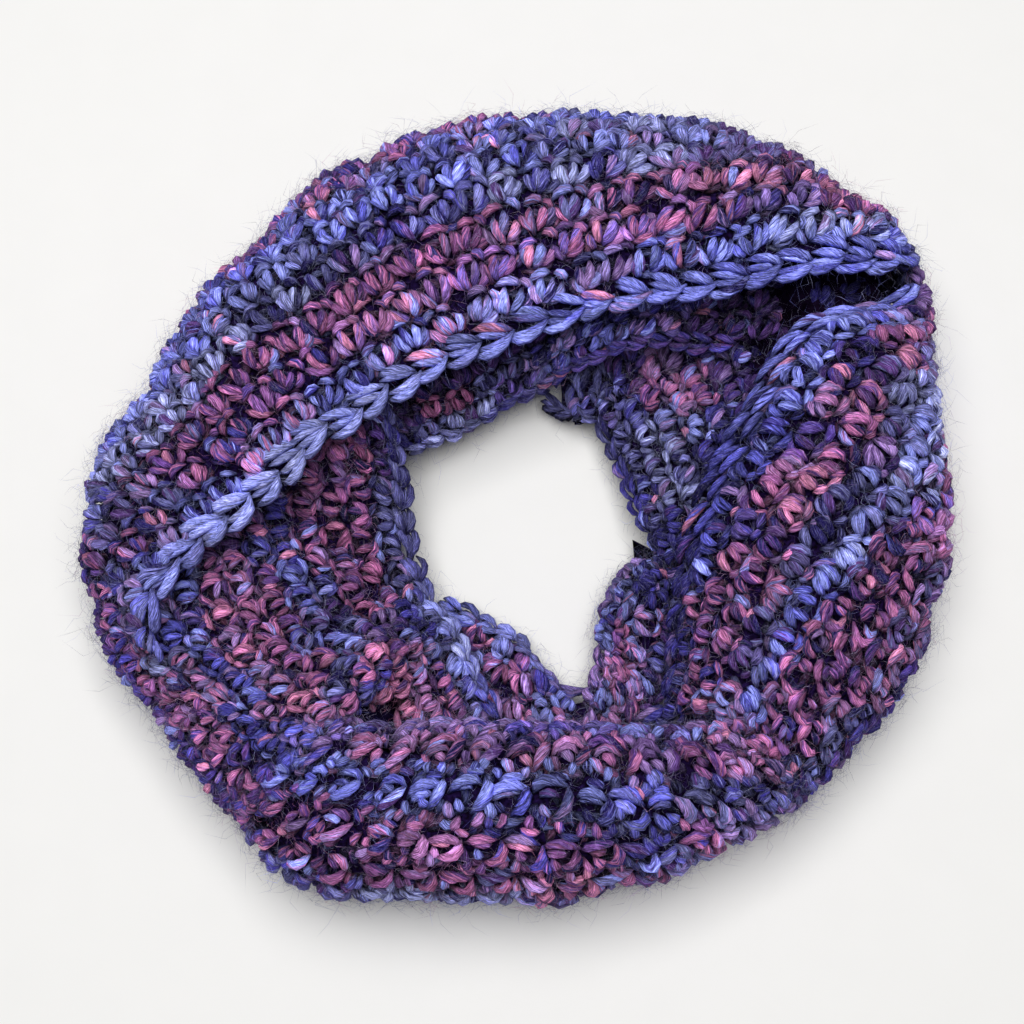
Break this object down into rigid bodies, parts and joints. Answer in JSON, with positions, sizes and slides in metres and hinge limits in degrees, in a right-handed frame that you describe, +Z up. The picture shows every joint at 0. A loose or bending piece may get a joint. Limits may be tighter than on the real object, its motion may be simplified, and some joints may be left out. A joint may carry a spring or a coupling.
{
  "type": "infinity scarf",
  "caption": "Chunky crocheted infinity scarf in marled wool, wound double and laid down in a ring round an open neck hole.",
  "frame": {"origin": "middle of the scarf's box in plan, on the surface it rests on", "axes": "+Z up from that surface, +X to the right and +Y away from the front fold"},
  "size_m": [0.2547, 0.2418, 0.0711],
  "materials": {
    "marled_wool": "matt, fuzzy crochet in wool that runs from periwinkle and indigo to raspberry and plum"
  },
  "bodies": {
    "root": {"top_stretch": "marled_wool", "right_stretch": "marled_wool", "front_stretch": "marled_wool", "left_stretch": "marled_wool", "back_inner_stretch": "marled_wool", "right_inner_stretch": "marled_wool", "front_inner_stretch": "marled_wool", "under_layers": "marled_wool"}
  },
  "joints": []
}
